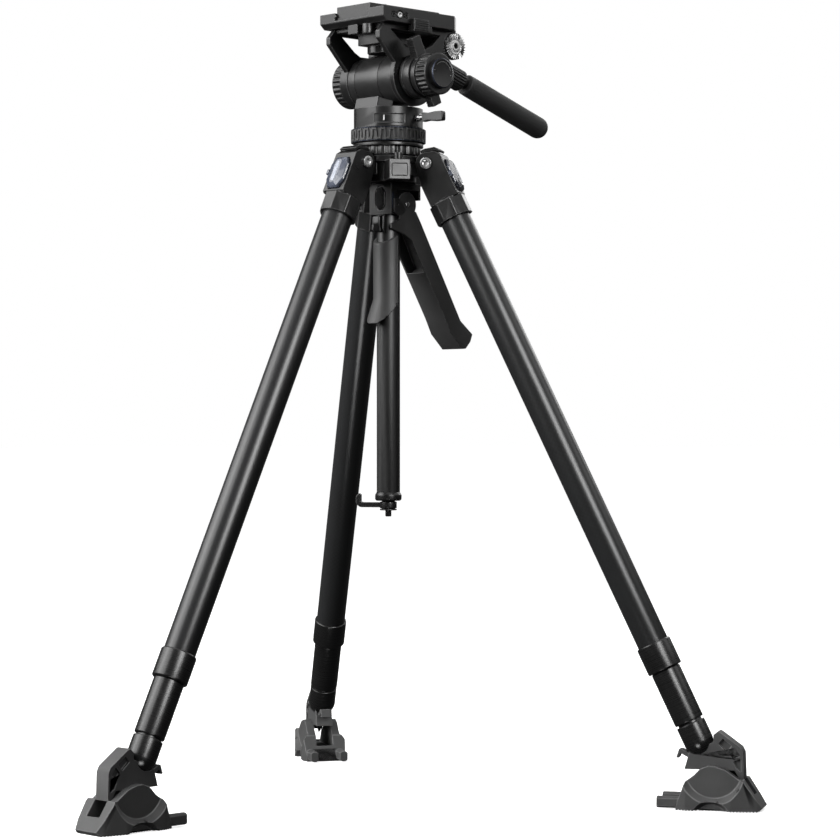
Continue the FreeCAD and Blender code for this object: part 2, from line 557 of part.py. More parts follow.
def tilt_lock_lever():
    ring = rod(21, "tilt_lock_end - tilt_lock_start", ("tilt_lock_start", 0, 0), ALONG_X)
    upper = prism([(-7, 15), (7, 15), (6, 42), (-6, 42)], 9.5, (50, 0, 0), SIDE_VIEW)
    lower = prism([(-6, -32.5), (6, -32.5), (7, -15), (-7, -15)], 9.5, (50.5, 0, 0), SIDE_VIEW)
    wings = cut(group(upper, lower), rod("damping_radius + free_gap", 30, (24, 0, 0), ALONG_X))
    bore = rod("axle_radius + running_gap", 40, (40, 0, 0), ALONG_X)
    return cut(fuse(ring, wings), bore)


def counterbalance_dial():
    dial = rod("dial_radius", "dial_left_end - dial_left", ("dial_left", 0, "tilt_height"), ALONG_X)
    return cut(dial, rod("axle_radius + running_gap", 20, ("axle_left - free_gap", 0, "tilt_height"), ALONG_X))


def drag_dial():
    dial = rod("drag_radius", "drag_end - drag_start", ("drag_start", 0, "tilt_height"), ALONG_X)
    face = rod("face_radius", "face_end - drag_end + 1", ("drag_end - 1", 0, "tilt_height"), ALONG_X)
    bore = rod("axle_radius + running_gap", "axle_right - drag_start + 1.3",
               ("drag_start - 1", 0, "tilt_height"), ALONG_X)
    return cut(fuse(dial, face), bore)


node(pan_base(), "pan_base")
node(pan_lock_lever(), "pan_lock_lever", (0, 0, "pan_lock_height"), spin_z(size("pan_lock_angle")))
node(tilt_housing(), "tilt_housing")
node(damping_housing(), "damping_housing")
node(tilt_lock_lever(), "tilt_lock_lever", (0, 0, "tilt_height"), Rotation(Vector(1, 0, 0), 25))
node(counterbalance_dial(), "counterbalance_dial")
node(drag_dial(), "drag_dial")


# ---- tilt: cage, platform, rosettes and camera plate ----

def cage_plate(low, ring_radius, ring_low, ring_length):
    """One side of the cage: a ring on the tilt axle with two arms up to the platform."""
    arms = prism([(-20, 752), (-50, 783), (-50, 790), (-42, "platform_bottom"), (55, "platform_bottom"),
                  (70, 792), (70, 776), (60, 770), (48, 772), (24, 742)], "cage_outside - cage_inside",
                 (low, 0, 0), SIDE_VIEW)
    window = prism([(-33, 793), (-14, 778), (-6, 774), (10, 774), (26, 782), (38, 793)], 12,
                   (f"{low} - 2", 0, 0), SIDE_VIEW)
    ring = rod(ring_radius, ring_length, (ring_low, 0, "tilt_height"), ALONG_X)
    bore = rod("axle_radius + running_gap", 40, (f"{low} - 20", 0, "tilt_height"), ALONG_X)
    rosette_bore = rod("rosette_bore", 20, (f"{low} - 5", "rosette_y", "rosette_z"), ALONG_X)
    return cut(fuse(cut(arms, window), ring), bore, rosette_bore)


def tilt_cage():
    left = cage_plate("-cage_outside", "ring_left_radius", -47, 11.1)
    right = cage_plate("ring_right_inside", "ring_right_radius", "ring_right_inside", 6)
    bridge = block((-40, -40, "bridge_bottom"), ("ring_right_outside", 54, "platform_bottom"))
    spring_case = fuse(rod(12, 10, (-7, -7, 774)), block((-20, -25, 782), (20, 20, "bridge_bottom + 1")))
    rear_wall = block((-40, 46, 784), ("ring_right_outside - 1", 52, "bridge_bottom + 1"))
    return fuse(left, right, bridge, spring_case, rear_wall)


def platform():
    wide, long, end = "platform_half_width", "platform_half_length", "platform_rear"
    rear = f"({wide} - 11)"
    plan = prism([(f"-{wide}", f"-{long}"), (wide, f"-{long}"), (wide, f"{end} - 13"), (rear, end),
                  (f"-{rear}", end), (f"-{wide}", f"{end} - 13")], "platform_top - platform_bottom",
                 (0, 0, "platform_bottom"))
    channel = block(("-plate_half_width - free_gap", -60, "platform_floor"),
                    ("plate_half_width + free_gap", 70, "platform_top + 1"))
    front_slope = prism([(-54, 798), (-54, 805), (-46, 798)], 100, (-50, 0, 0), SIDE_VIEW)
    keys = [block((low, f"-{long}", 809.2), (high, f"{end} - 2", 811.8))
            for low, high in (("-plate_half_width - 1", "-plate_half_width + 1.7"),
                              ("plate_half_width - 1.7", "plate_half_width + 1"))]
    ornaments = []
    for face in (f"-{wide} - 1", f"{wide} - 1.2"):
        ornaments += [rod(radius, 2.2, (face, along, 806.5), ALONG_X)
                      for along, radius in ((-38, 3), (-29, 4.6), (-20, 3))]
        ornaments.append(block((face, -38, 804.6), (f"{face} + 2.2", -20, 808.4)))
    pivot_hole = rod("2.5 + running_gap", 6, (45, 12, 797), UPRIGHT)
    button_hole = rod("4 + running_gap", 8, (f"-{wide} - 1", 20, 806.5), ALONG_X)
    return cut(fuse(cut(plan, channel, front_slope), *keys), pivot_hole, button_hole, *ornaments)


def rosettes():
    """The toothed discs at the rear of the cage. The right one is free, the left one carries the bar."""
    pieces = []
    for low in ("ring_right_outside", "-cage_outside - rosette_thick"):
        disc = rod("rosette_radius", "rosette_thick", (low, "rosette_y", "rosette_z"), ALONG_X)
        bore = rod("rosette_bore", 20, (f"{low} - 5", "rosette_y", "rosette_z"), ALONG_X)
        pieces.append(cut(disc, bore))
    return group(*pieces)


def camera_plate():
    half, long, low = "plate_half_width", "plate_half_length", "platform_floor + free_gap"
    blank = block((f"-{half}", f"-{long}", low), (half, long, "plate_top"))
    grooves = [block((start, -60, 808.8), (end, 60, 812.2))
               for start, end in ((f"-{half} - 1", f"-{half} + 2.1"), (f"{half} - 2.1", f"{half} + 1"))]
    hole = rod("stud_radius + running_gap", 20, (0, "screw_y", 805))
    well = rod(8.3, 7, (0, "screw_y", 805))
    return cut(blank, *grooves, hole, well)


def camera_screw():
    """A captive screw, with a thinner neck in the plate."""
    neck = "stud_radius - 0.3"
    return turned([(0, 807), (8, 807), (8, 811.6), (neck, 811.6), (neck, "plate_top + 0.3"),
                   ("stud_radius", "plate_top + 0.3"), ("stud_radius", "screw_top - 0.6"),
                   ("stud_radius - 0.6", "screw_top"), (0, "screw_top")], (0, "screw_y", 0))


def plate_lock_lever():
    pin = rod(2.5, 5, (45, 12, 797))
    arm = block((42.6, -12, 792), (50, 15, 798.7))
    paddle = block(("platform_half_width + 0.4", -14, 791.5), ("platform_half_width + 5", 8, 804.5))
    return fuse(pin, arm, paddle)


def plate_release_button():
    return rod(4, 5, ("-platform_half_width - 2.4", 20, 806.5), ALONG_X)


node(tilt_cage(), "tilt_cage")
node(platform(), "platform")
node(rosettes(), "rosettes")
node(camera_plate(), "camera_plate")
node(camera_screw(), "camera_screw")
node(plate_lock_lever(), "plate_lock_lever")
node(plate_release_button(), "plate_release_button")


# ---- pan bar, in its own frame: the bar's axis along +Z from the point above the rosette ----

BAR_AT = ("bar_x", "rosette_y", "rosette_z + bar_lift")
BAR_TURN = Rotation(Vector(1, 0, 0), -90 - size("bar_drop"))


def bar_clamp():
    disc_face = "-cage_outside - rosette_thick - free_gap"
    disc = rod("rosette_radius", 3, (f"{disc_face} - 3", "rosette_y", "rosette_z"), ALONG_X)
    boss = rod(10, 24, (f"{disc_face} - 24", "rosette_y", "rosette_z"), ALONG_X)
    sleeve = seat(group(rod("clamp_radius", 28, (0, 0, -14))), BAR_AT, BAR_TURN)
    bar_bore = seat(group(rod("bar_radius + running_gap", 60, (0, 0, -30))), BAR_AT, BAR_TURN)
    bolt_bore = rod("rosette_bore", 40, (f"{disc_face} - 30", "rosette_y", "rosette_z"), ALONG_X)
    relief = block((disc_face, 30, 760), (-30, 90, 830))
    return cut(fuse(disc, boss, sleeve), bar_bore, bolt_bore, relief)


def bar_clamp_knob():
    bolt = rod(3, 30, (-73, "rosette_y", "rosette_z"), ALONG_X)
    head = rod(10, 12, (-82, "rosette_y", "rosette_z"), ALONG_X)
    return fuse(bolt, head)


def bar_tube():
    inside = "rod_radius + running_gap"
    return cut(rod("bar_radius", "bar_end - bar_start", (0, 0, "bar_start")), rod(inside, 200, (0, 0, 20)))


def bar_twist_collar():
    blank = rod("twist_radius", "twist_end - twist_start", (0, 0, "twist_start"))
    wide = rod("bar_radius + running_gap", "bar_end - twist_start + 1.3", (0, 0, "twist_start - 1"))
    return cut(blank, wide, rod("rod_radius + running_gap", 60, (0, 0, "twist_start - 1")))


def bar_grip():
    """The soft grip and the inner rod that it sits on."""
    sleeve = turned([("rod_radius", "grip_start"), ("bar_grip_radius - 1.5", "grip_start"),
                     ("bar_grip_radius - 0.8", "grip_start + 2"), ("bar_grip_radius", "grip_end - 14"),
                     ("bar_grip_radius - 1", "grip_end - 7"), ("bar_grip_radius - 4.5", "grip_end - 2"),
                     ("bar_grip_radius - 8", "grip_end"), (0, "grip_end"), (0, "grip_end - 8"),
                     ("rod_radius", "grip_end - 8")])
    return group(sleeve, rod("rod_radius", "grip_end - 8 - 26", (0, 0, 26)))


node(bar_clamp(), "bar_clamp")
node(bar_clamp_knob(), "bar_clamp_knob")
for name, build in (("bar_tube", bar_tube), ("bar_twist_collar", bar_twist_collar), ("bar_grip", bar_grip)):
    node(build(), name, BAR_AT, BAR_TURN)

doc.recompute()
faulty = [thing.Label for thing in doc.Objects if "Invalid" in thing.State or "Error" in thing.State]
faulty += [thing.Label for thing in nodes if thing.Shape.isNull() or not thing.Shape.isValid()]
if faulty:
    raise RuntimeError("failed: " + ", ".join(faulty))
for thing in nodes:
    thing.Shape.exportStep(f"parts/{thing.Label}.step")
    print(thing.Label, len(thing.Shape.Solids), round(thing.Shape.Volume))
print(len(nodes), "sub-parts")
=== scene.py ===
"""Looks of a three-legged camera stand with a fluid pan and tilt head.

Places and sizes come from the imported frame. Outlines are in millimetres, in the frame of the piece that
they belong to, and matrices are in metres.
"""
import json
import math

import bmesh
import bpy
from mathutils import Matrix, Vector

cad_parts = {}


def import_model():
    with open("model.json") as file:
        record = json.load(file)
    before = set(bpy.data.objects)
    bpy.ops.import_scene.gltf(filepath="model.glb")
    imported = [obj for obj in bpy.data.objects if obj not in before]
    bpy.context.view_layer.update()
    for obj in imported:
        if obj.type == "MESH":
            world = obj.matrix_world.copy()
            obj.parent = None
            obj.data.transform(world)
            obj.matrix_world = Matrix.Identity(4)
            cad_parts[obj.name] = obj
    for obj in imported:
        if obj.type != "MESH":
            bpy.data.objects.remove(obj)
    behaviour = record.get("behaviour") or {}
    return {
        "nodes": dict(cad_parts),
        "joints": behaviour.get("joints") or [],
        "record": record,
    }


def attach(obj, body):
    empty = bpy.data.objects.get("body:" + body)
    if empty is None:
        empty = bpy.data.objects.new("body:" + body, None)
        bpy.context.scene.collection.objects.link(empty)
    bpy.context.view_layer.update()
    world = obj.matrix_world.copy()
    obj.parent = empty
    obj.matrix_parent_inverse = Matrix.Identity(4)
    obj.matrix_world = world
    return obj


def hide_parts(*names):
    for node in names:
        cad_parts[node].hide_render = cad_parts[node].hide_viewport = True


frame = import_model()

MM = 0.001
TAU = math.tau
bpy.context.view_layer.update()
BEHAVIOUR = frame["record"]["behaviour"]
JOINTS = {joint["name"]: joint for joint in frame["joints"]}
BODY_OF = {node: body for body, members in BEHAVIOUR["bodies"].items() for node in members}
LEGS = ("front", "right", "left")


# ---- frames ----

def axes(origin, x, z):
    """The frame at origin with its Z axis along z and its X axis as near x as that allows."""
    z = Vector(z).normalized()
    y = z.cross(Vector(x)).normalized()
    return Matrix.Translation(Vector(origin)) @ Matrix((y.cross(z), y, z)).transposed().to_4x4()


def leg_frame(leg):
    """Hinge at the origin, the leg down -Z, its outer face towards +X."""
    hinge, up = JOINTS[f"{leg}_leg_spread"], -Vector(JOINTS[f"{leg}_middle_extend"]["axis"])
    return axes(hinge["pos_m"], Vector(hinge["axis"]).cross(up), up)


def shifted(x, y, z):
    """A move by millimetres."""
    return Matrix.Translation(Vector((x, y, z)) * MM)


def foot_frame(leg):
    """The floor point under the ankle, with +X outward."""
    ankle = Vector(JOINTS[f"{leg}_ankle"]["pos_m"])
    return axes((ankle.x, ankle.y, 0), (ankle.x, ankle.y, 0), (0, 0, 1))


STAND = Matrix.Identity(4)
TILT = axes(JOINTS["tilt"]["pos_m"], (0, 0, 1), (1, 0, 0))
BAR = axes(JOINTS["bar_collar_turn"]["pos_m"], (0, 0, 1), JOINTS["bar_collar_turn"]["axis"])
PAN_LOCK = axes(JOINTS["pan_lock_turn"]["pos_m"], (0, 0, 1), JOINTS["pan_lock_turn"]["axis"])
ROSETTES = axes(JOINTS["bar_angle"]["pos_m"], (0, 0, 1), (1, 0, 0))
ROSETTES.translation.x = 0
FRONT = axes((0, 0, 0), (1, 0, 0), (0, -1, 0))      # outlines in X and Z, drawn towards -Y
FACE = axes((0, 0, 0), (0, 1, 0), (1, 0, 0))        # outlines in Y and Z, drawn towards +X


def span(node, matrix=STAND):
    """Lowest and highest corner of a CAD node in a frame, in millimetres."""
    inverse = matrix.inverted()
    points = [(inverse @ vertex.co) / MM for vertex in frame["nodes"][node].data.vertices]
    return [Vector([pick(point[axis] for point in points) for axis in range(3)]) for pick in (min, max)]


def turned_outline(node, matrix):
    """The outline, as (radius, height) corners, of a CAD node that is round about the Z axis of matrix."""
    inverse, corners, links = matrix.inverted(), [], {}

    def corner_of(vertex):
        point = (inverse @ vertex.co) / MM
        here = (math.hypot(point.x, point.y), point.z)
        for index, corner in enumerate(corners):
            if math.dist(here, corner) < 0.01:
                return index
        corners.append(here)
        return len(corners) - 1

    mesh = frame["nodes"][node].data
    index = [corner_of(vertex) for vertex in mesh.vertices]
    for edge in mesh.edges:
        a, b = (index[end] for end in edge.vertices)
        if a != b:
            links.setdefault(a, set()).add(b)
            links.setdefault(b, set()).add(a)
    ends = [corner for corner, others in links.items() if len(others) == 1]
    walk = [ends[0] if ends else next(iter(links))]
    while True:
        ahead = [other for other in links[walk[-1]] if other not in walk]
        if not ahead:
            break
        walk.append(ahead[0])
    outline = [corners[step] for step in walk]
    if ends:
        outline = [(0, outline[0][1])] + outline + [(0, outline[-1][1])]
        outline = [here for here, before in zip(outline, [None] + outline) if here != before]
    return outline, not ends


# ---- procedural materials ----

NOISE_LOW, NOISE_HIGH = 0.3, 0.7        # where nearly all of a noise texture's values lie


class Look:
    """A procedural material, with the record's slot that it stands for.

    Slow patches change its colour and roughness, and a fine grain gives its relief."""

    def __init__(self, name, slot, dark, light, rough, spread=0.06, coordinates="Object", stretch=(1, 1, 1),
                 patch=35, grain=1500, relief=0.15, **fixed):
        self.slot = slot
        self.material = bpy.data.materials.new(name)
        self.material.use_nodes = True
        self.tree = self.material.node_tree
        self.surface = self.tree.nodes["Principled BSDF"]
        for socket, value in fixed.items():
            self.surface.inputs[socket.replace("_", " ")].default_value = value
        source = self.add("ShaderNodeTexCoord").outputs[coordinates]
        self.place = self.add("ShaderNodeMapping", Vector=source, Scale=stretch).outputs["Vector"]
        self.patches = self.noise(patch, 4)
        self.grain = self.noise(grain, 2)
        self.colour(self.patches, dark, light)
        self.roughness(self.patches, rough - spread, rough + spread)
        self.height(self.grain, relief)

    def add(self, kind, traits=None, **inputs):
        node = self.tree.nodes.new(kind)
        for trait, value in (traits or {}).items():
            setattr(node, trait, value)
        for name, value in inputs.items():
            socket = node.inputs[name.replace("_", " ")]
            if isinstance(value, bpy.types.NodeSocket):
                self.tree.links.new(value, socket)
            else:
                socket.default_value = value
        return node

    def feed(self, output, name):
        self.tree.links.new(output, self.surface.inputs[name])

    def noise(self, scale, detail, place=None):
        texture = self.add("ShaderNodeTexNoise", Vector=place or self.place, Scale=scale, Detail=detail)
        return texture.outputs["Fac"]

    def wave(self, scale, place=None, traits=None, **inputs):
        texture = self.add("ShaderNodeTexWave", traits, Vector=place or self.place, Scale=scale, **inputs)
        return texture.outputs["Fac"]

    def mapped(self, **inputs):
        """The coordinates, scaled or turned once more."""
        return self.add("ShaderNodeMapping", Vector=self.place, **inputs).outputs["Vector"]

    def maths(self, operation, first, second):
        node = self.add("ShaderNodeMath", {"operation": operation})
        for socket, value in zip(node.inputs, (first, second)):
            if isinstance(value, bpy.types.NodeSocket):
                self.tree.links.new(value, socket)
            else:
                socket.default_value = value
        return node.outputs["Value"]

    def colour(self, factor, dark, light):
        ramp = self.add("ShaderNodeValToRGB", Fac=factor)
        for stop, position, shade in zip(ramp.color_ramp.elements, (NOISE_LOW, NOISE_HIGH), (dark, light)):
            stop.position, stop.color = position, (*shade, 1)
        self.feed(ramp.outputs["Color"], "Base Color")
        return self

    def roughness(self, factor, low, high):
        band = self.add("ShaderNodeMapRange", Value=factor, From_Min=NOISE_LOW, From_Max=NOISE_HIGH,
                        To_Min=low, To_Max=high)
        self.feed(band.outputs["Result"], "Roughness")
        return self

    def height(self, factor, strength, distance=0.1 * MM):
        bump = self.add("ShaderNodeBump", Strength=strength, Distance=distance, Height=factor)
        self.feed(bump.outputs["Normal"], "Normal")
        return self


def grey(value, tint=0.0):
    """A neutral colour that leans a little towards blue."""
    return (value * (1 - tint), value, value * (1 + tint))


def carbon_look():
    """Satin carbon, with a twill that only shows close up."""
    look = Look("carbon", "carbon", grey(0.012), grey(0.022), 0.3, 0.04, "UV", patch=20, grain=900,
                relief=0.02)
    slanted, weave = {"bands_direction": "DIAGONAL"}, 120
    fibres = look.wave(weave, traits=slanted, Distortion=1.5, Detail=2)
    across = look.wave(weave, look.mapped(Scale=(1, -1, 1)), slanted)
    twill = look.maths("MULTIPLY", fibres, across)
    look.roughness(twill, 0.31, 0.34)
    return look.colour(look.maths("ADD", twill, look.patches), grey(0.014), grey(0.019, 0.03))


def spiral_look():
    """The column's tube, wound with streaks that run steeply round it."""
    look = Look("wound_carbon", "carbon", grey(0.018), grey(0.05), 0.36, 0.05, "UV", grain=900, relief=0.04)
    streaks = look.noise(160, 3, look.mapped(Rotation=(0, 0, 0.14), Scale=(1, 0.03, 1)))
    look.colour(streaks, grey(0.010), grey(0.04))
    return look.roughness(streaks, 0.3, 0.46)


def turned_look(name, slot, dark, light, rough, **fixed):
    """Metal with the fine rings of a lathe tool: they follow the length of the outline."""
    look = Look(name, slot, dark, light, rough, coordinates="UV", **fixed)
    rings = look.noise(1, 3, look.mapped(Scale=(3, 2600, 1)))
    look.roughness(rings, rough - 0.09, rough + 0.09)
    return look.height(rings, 0.12, 0.05 * MM)


def key_look():
    """Smoky translucent plastic with a cloudy inside."""
    return Look("smoky_plastic", "clear_key", (0.07, 0.08, 0.11), (0.13, 0.145, 0.19), 0.24, 0.05, patch=90,
                relief=0.03, Transmission_Weight=0.35, IOR=1.49, Coat_Weight=0.6, Coat_Roughness=0.05)


# The edge looks are lighter copies of their finishes that bevel() lays on rounded edges: a painted highlight.
METAL = Look("black_casting", "dark_metal", grey(0.007), grey(0.011), 0.33, relief=0.08)
METAL_EDGE_HIGHLIGHT = Look("black_casting_edge_highlight", "dark_metal", grey(0.03), grey(0.06), 0.36, patch=120)
MATT = Look("matt_coating", "dark_metal", grey(0.040), grey(0.050), 0.5, grain=1900, relief=0.25)
MATT_EDGE_HIGHLIGHT = Look("matt_coating_edge_highlight", "dark_metal", grey(0.06), grey(0.1), 0.42, patch=120)
SMOOTH = turned_look("black_turned_metal", "dark_metal", grey(0.006), grey(0.010), 0.3, relief=0.05)
SATIN = Look("grey_anodised", "satin_metal", grey(0.045), grey(0.07), 0.34, Metallic=0.5)
CARBON = carbon_look()
WOUND = spiral_look()
RUBBER = Look("black_rubber", "rubber", grey(0.058), grey(0.074), 0.6, grain=1100, relief=0.25,
              Specular_IOR_Level=0.3)
# Lighter rubber for the rounded edges: a painted highlight.
RUBBER_EDGE_HIGHLIGHT = Look("rubber_edge_highlight", "rubber", grey(0.08), grey(0.12), 0.5, patch=90, relief=0.2)
FOAM = Look("soft_grip", "rubber", grey(0.022), grey(0.032), 0.66, grain=1800, relief=0.4)
PLASTIC = Look("moulded_plastic", "knob_plastic", grey(0.008), grey(0.013), 0.36, grain=1300, relief=0.1)
PLASTIC_EDGE_HIGHLIGHT = Look("moulded_plastic_edge_highlight", "knob_plastic", grey(0.03), grey(0.055), 0.36, patch=110)
TURNED = turned_look("turned_drum", "dark_metal", grey(0.010), grey(0.018), 0.36)
GLOSS = Look("gloss_black", "knob_plastic", grey(0.004), grey(0.007), 0.2, relief=0.03,
             Specular_IOR_Level=0.12)
STEEL = Look("bright_steel", "steel", grey(0.42), grey(0.58), 0.3, 0.08, patch=160, grain=2200, Metallic=1.0)
KEY = key_look()
KEY_STRIP = Look("pale_strip", "clear_key", (0.26, 0.28, 0.33), (0.38, 0.4, 0.46), 0.4, patch=120,
                 relief=0.03)
PRINT = Look("white_print", "knob_plastic", grey(0.62), grey(0.78), 0.55, patch=260)
BLUE = Look("blue_anodised", "dark_metal", (0.012, 0.016, 0.03), (0.022, 0.03, 0.055), 0.35, patch=120,
            Metallic=0.5)


# ---- meshes ----

def add_piece(name, mesh, look, body, replaces=(), edge=None):
    """Puts a finished mesh, whose points are in the row frame, on its body."""
    piece = bpy.data.objects.new(name, mesh)
    bpy.context.scene.collection.objects.link(piece)
    mesh.materials.append(look.material)
    if edge:
        mesh.materials.append(edge.material)
    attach(piece, body)
    if replaces:
        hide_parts(*replaces)
    return piece


def bevel(piece, width, edge=False, angle=32):
    """Rounds a piece's edges over a width in millimetres. With edge, the rounding gets the second material, a
    lighter colour that is a painted highlight.
    """
    rounding = piece.modifiers.new("bevel", "BEVEL")
    rounding.width, rounding.segments = width * MM, 3
    rounding.limit_method, rounding.angle_limit = "ANGLE", math.radians(angle)
    rounding.use_clamp_overlap, rounding.harden_normals = False, True
    rounding.miter_outer = "MITER_ARC"
    if edge:
        rounding.material = 1
    return piece


def keep_sharp(piece, angle, sharp):
    """Leaves the edges that sharp() names out of a piece's bevel."""
    work = bmesh.new()
    work.from_mesh(piece.data)
    weight = work.edges.layers.float.new("bevel_weight_edge")
    for edge in work.edges:
        broken = len(edge.link_faces) == 2 and edge.calc_face_angle() > math.radians(angle)
        edge[weight] = 1.0 if broken and not sharp(edge) else 0.0
    work.to_mesh(piece.data)
    work.free()
    piece.modifiers["bevel"].limit_method = "WEIGHT"


def clean_mesh(name, source):
    """A bare mesh of a bmesh: corners welded, flat faces joined and sides turned outwards."""
    bmesh.ops.remove_doubles(source, verts=source.verts, dist=0.004 * MM)
    bmesh.ops.dissolve_limit(source, angle_limit=math.radians(0.7), verts=source.verts, edges=source.edges)
    bmesh.ops.recalc_face_normals(source, faces=source.faces)
    source.verts.index_update()
    mesh = bpy.data.meshes.new(name)
    points = [vertex.co.copy() for vertex in source.verts]
    mesh.from_pydata(points, [], [[vertex.index for vertex in face.verts] for face in source.faces])
    source.free()
    mesh.shade_smooth()
    return mesh


def machined(node, look, width=0.6, name=None, edge=None, carve=None, angle=32):
    """A CAD node with its edges broken, for pieces whose shape is right as it is."""
    source = bmesh.new()
    source.from_mesh(frame["nodes"][node].data)
    mesh = clean_mesh(name or f"{node}_finished", source)
    if carve:
        mesh = carved(mesh, carve)
    piece = add_piece(mesh.name, mesh, look, BODY_OF[node], [node], edge)
    return bevel(piece, width, bool(edge), angle)


def carved(mesh, tool):
    """The mesh with another mesh cut away from it."""
    work, cutter = bpy.data.objects.new("work", mesh), bpy.data.objects.new("cutter", tool)
    for thing in (work, cutter):
        bpy.context.scene.collection.objects.link(thing)
    cut = work.modifiers.new("cut", "BOOLEAN")
    cut.operation, cut.solver, cut.object = "DIFFERENCE", "EXACT", cutter
    result = bmesh.new()
    result.from_object(work, bpy.context.evaluated_depsgraph_get())
    name = mesh.name
    for thing in (work, cutter):
        bpy.data.objects.remove(thing)
    mesh.name = "blank"
    return clean_mesh(name, result)


def ring_of(shape, outline, height, matrix):
    """Adds an outline's corners to a bmesh, at a height in the frame."""
    return [shape.verts.new(matrix @ (Vector((x, y, height)) * MM)) for x, y in outline]


def skin(shape, low, high):
    """Joins two rings of a bmesh with faces."""
    for here in range(len(low)):
        there = (here + 1) % len(low)
        shape.faces.new((low[here], low[there], high[there], high[here]))


def prism_mesh(name, outline, low, high, matrix):
    """A straight prism over an outline in the frame's X and Y, between two heights."""
    shape = bmesh.new()
    ends = [ring_of(shape, outline, height, matrix) for height in (low, high)]
    for end in ends:
        shape.faces.new(end)
    skin(shape, *ends)
    return clean_mesh(name, shape)


def extruded(name, outline, low, high, matrix, look, body, width=0.4, replaces=(), edge=None, angle=32):
    piece = add_piece(name, prism_mesh(name, outline, low, high, matrix), look, body, replaces, edge)
    return bevel(piece, width, bool(edge), angle)


def loft(name, rings, matrix, look, body, width=0.4, replaces=()):
    """A solid through outlines of equal length, each at its own height."""
    shape = bmesh.new()
    rows = [ring_of(shape, outline, height, matrix) for outline, height in rings]
    for end in (rows[0], rows[-1]):
        shape.faces.new(end)
    for low, high in zip(rows, rows[1:]):
        skin(shape, low, high)
    return bevel(add_piece(name, clean_mesh(name, shape), look, body, replaces), width, angle=12)


def studs(name, low, high, columns, rows, lift, matrix, look, body):
    """A field of small pyramids on a flat face of the frame, between two corners of that face."""
    shape = bmesh.new()
    wide, tall = (high[0] - low[0]) / columns, (high[1] - low[1]) / rows
    corners = ((-1, -1), (1, -1), (1, 1), (-1, 1))
    for column in range(columns):
        for row in range(rows):
            x, y = low[0] + wide * (column + 0.5), low[1] + tall * (row + 0.5)
            foot, tip = ([(x + wide * part * i, y + tall * part * j) for i, j in corners]
                         for part in (0.5, 0.12))
            foot, tip = ring_of(shape, foot, 0, matrix), ring_of(shape, tip, lift, matrix)
            shape.faces.new(tip)
            skin(shape, foot, tip)
    return add_piece(name, clean_mesh(name, shape), look, body)


def softened(points, reach, closed=True, steps=3, least=18):
    """An outline with its corners rounded as far as their sides allow."""
    result = []
    for index, here in enumerate(points):
        here = Vector(here)
        back = Vector(points[index - 1]) - here
        ahead = Vector(points[(index + 1) % len(points)]) - here
        turn = math.degrees(back.angle(-ahead, 0)) if back.length and ahead.length else 0
        if (not closed and index in (0, len(points) - 1)) or turn < least:
            result.append(tuple(here))
            continue
        near = min(reach, back.length / 2.2, ahead.length / 2.2)
        start, end = here + back.normalized() * near, here + ahead.normalized() * near
        for step in range(steps + 1):
            t = step / steps
            result.append(tuple(start * (1 - t) ** 2 + here * 2 * t * (1 - t) + end * t ** 2))
    return result


def dense(points, longest, closed=True):
    """An outline with its long sides divided."""
    result = []
    for here, there in zip(points, points[1:] + points[:1] if closed else points[1:]):
        parts = max(1, math.ceil(math.dist(here, there) / longest))
        result += [tuple(Vector(here).lerp(Vector(there), part / parts)) for part in range(parts)]
    return result if closed else result + [points[-1]]


def lathe(name, outline, matrix, look, body, closed=True, segments=96, shape=None, replaces=(), soft=0.3,
          step=0, sharp=40):
    """A body of revolution about the frame's Z axis. shape moves each point by its angle. Its UVs are the
    distances, in metres, round the widest turn and along the outline."""
    ring = softened(outline, soft, closed)
    if step:
        ring = dense(ring, step, closed)
    widest = max(radius for radius, _ in ring) * MM
    points, rows, along = [], [], [0.0]
    for radius, height in ring:
        turns = 1 if radius < 1e-4 else segments
        rows.append([len(points) + turn for turn in range(turns)])
        for turn in range(turns):
            angle = TAU * turn / segments
            r, z = shape(angle, radius, height) if shape and turns > 1 else (radius, height)
            points.append(matrix @ Vector((r * math.cos(angle) * MM, r * math.sin(angle) * MM, z * MM)))
    for here, there in zip(ring, ring[1:] + ring[:1]):
        along.append(along[-1] + math.dist(here, there) * MM)
    faces, spread = [], []
    for low in range(len(ring) if closed else len(ring) - 1):
        high = (low + 1) % len(ring)
        for turn in range(segments):
            corners = {}
            for row, side, v in ((low, 0, along[low]), (low, 1, along[low]), (high, 1, along[low + 1]),
                                 (high, 0, along[low + 1])):
                vertex = rows[row][(turn + side) % segments if len(rows[row]) > 1 else 0]
                corners.setdefault(vertex, (widest * TAU * (turn + side) / segments, v))
            if len(corners) > 2:
                faces.append(list(corners))
                spread.append(corners)
    mesh = bpy.data.meshes.new(name)
    mesh.from_pydata(points, [], faces)
    turned = bmesh.new()
    turned.from_mesh(mesh)
    layer = turned.loops.layers.uv.new("UVMap")
    for face in turned.faces:
        for loop in face.loops:
            loop[layer].uv = spread[face.index][loop.vert.index]
    bmesh.ops.recalc_face_normals(turned, faces=turned.faces)
    turned.to_mesh(mesh)
    turned.free()
    mesh.shade_smooth()
    mesh.set_sharp_from_angle(angle=math.radians(sharp))
    return add_piece(name, mesh, look, body, replaces)


def turned_piece(node, matrix, look, name=None, **more):
    """A round CAD node, turned again with rounded corners and a fine mesh."""
    outline, closed = turned_outline(node, matrix)
    name = name or f"{node}_finished"
    return lathe(name, outline, matrix, look, BODY_OF[node], closed, replaces=[node], **more)


def ease(value):
    """A soft step from 0 to 1."""
    value = max(0.0, min(1.0, value))
    return value * value * (3 - 2 * value)


def fluting(count, depth, low, high, least, power=1.0, fade=0.8, twist=0.0):
    """Grooves along the axis, between two heights, in the part of the surface beyond the least radius."""
    def shape(angle, radius, height):
        if radius < least:
            return radius, height
        groove = (0.5 - 0.5 * math.cos(count * (angle + twist * height))) ** power
        return radius - depth * groove * ease((height - low) / fade) * ease((high - height) / fade), height
    return shape


